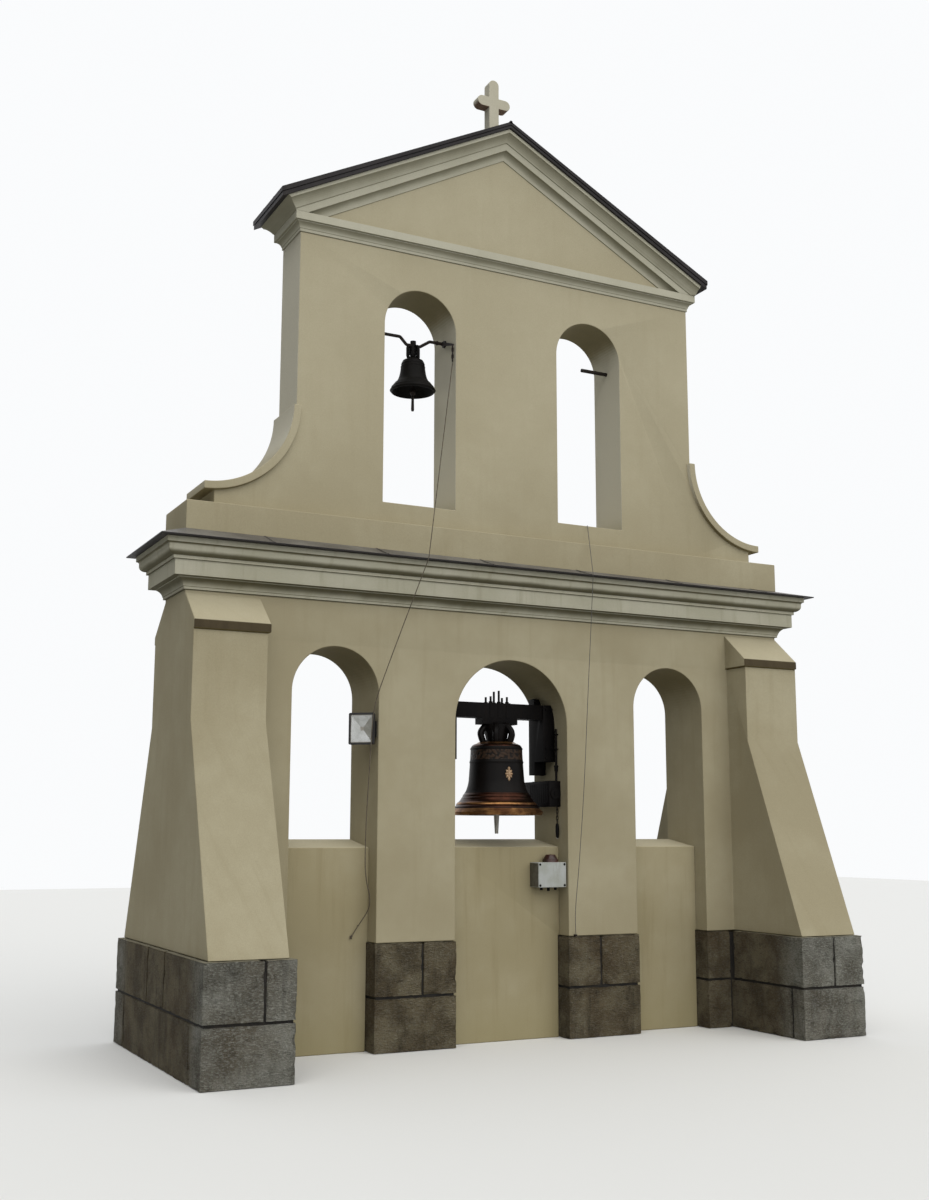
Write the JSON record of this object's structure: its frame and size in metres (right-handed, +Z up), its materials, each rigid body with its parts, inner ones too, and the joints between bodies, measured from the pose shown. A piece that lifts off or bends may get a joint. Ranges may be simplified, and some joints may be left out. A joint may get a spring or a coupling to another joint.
{
  "type": "bell tower",
  "caption": "Free-standing plastered bell wall on stone feet, with arched openings in two storeys, buttresses, moulded cornices, scrolled shoulders, a gable with a cross and swinging bells.",
  "frame": {"origin": "on the ground, at the middle of the tower's footprint", "axes": "+Z up, X along the wall, the front faces -Y"},
  "size_m": [5.86, 2.33, 8.092],
  "materials": {
    "plaster": "matt",
    "moulding": "matt",
    "stone": "rough",
    "sheet_metal": "satin",
    "black_steel": "satin",
    "old_iron": "rough",
    "bronze": "aged",
    "dark_bronze": "aged",
    "lamp_housing": "satin",
    "grey_plastic": "matt",
    "rope": "rough"
  },
  "bodies": {
    "tower": {"plinth_left_end": "stone", "plinth_centre_left": "stone", "plinth_centre_right": "stone", "plinth_right_end": "stone", "pier_left_end": "plaster", "pier_centre_left": "plaster", "pier_centre_right": "plaster", "pier_right_end": "plaster", "arch_wall_left": "plaster", "arch_wall_centre": "plaster", "arch_wall_right": "plaster", "parapet_left": "plaster", "parapet_centre": "plaster", "parapet_right": "plaster", "buttress_front_left": "plaster", "buttress_front_right": "plaster", "buttress_rear_left": "plaster", "buttress_rear_right": "plaster", "main_cornice": "moulding", "cornice_flashing": "sheet_metal", "upper_plinth": "plaster", "volute_left": "plaster", "volute_right": "plaster", "upper_base": "plaster", "upper_pier_left": "plaster", "upper_pier_centre": "plaster", "upper_pier_right": "plaster", "upper_arch_wall_left": "plaster", "upper_arch_wall_right": "plaster", "upper_cornice": "moulding", "tympanum": "plaster", "raking_cornice": "moulding", "roof": "sheet_metal", "cross": "plaster", "cross_wedge": "sheet_metal", "bearing_left": "black_steel", "bearing_right": "black_steel", "swing_motor": "black_steel", "pull_weight": "black_steel", "small_socket_left": "old_iron", "small_socket_right": "old_iron", "spare_bar": "old_iron", "floodlight": "lamp_housing", "lamp_bracket": "lamp_housing", "junction_box": "grey_plastic", "bell_rope": "rope", "signal_line": "rope", "line_clips": "old_iron", "rope_nails": "old_iron"},
    "main_bell": {"main_bell": "bronze", "headstock": "black_steel"},
    "main_clapper": {"main_clapper": "old_iron"},
    "small_bell": {"small_bell": "dark_bronze", "small_bar": "old_iron"},
    "small_clapper": {"small_clapper": "old_iron"}
  },
  "joints": [
    {"name": "main_bell_swing", "type": "hinge", "parent": "tower", "child": "main_bell", "pos_m": [0, 0, 2.565], "axis": [1, 0, 0], "range_deg": [-65, 65]},
    {"name": "main_clapper_swing", "type": "hinge", "parent": "main_bell", "child": "main_clapper", "pos_m": [0, 0, 2.24], "axis": [1, 0, 0], "range_deg": [-24, 24]},
    {"name": "small_bell_swing", "type": "hinge", "parent": "tower", "child": "small_bell", "pos_m": [-0.773, 0, 5.607], "axis": [1, 0, 0], "range_deg": [-30, 30]},
    {"name": "small_clapper_swing", "type": "hinge", "parent": "small_bell", "child": "small_clapper", "pos_m": [-0.773, 0, 5.35], "axis": [1, 0, 0], "range_deg": [-24, 24]}
  ]
}
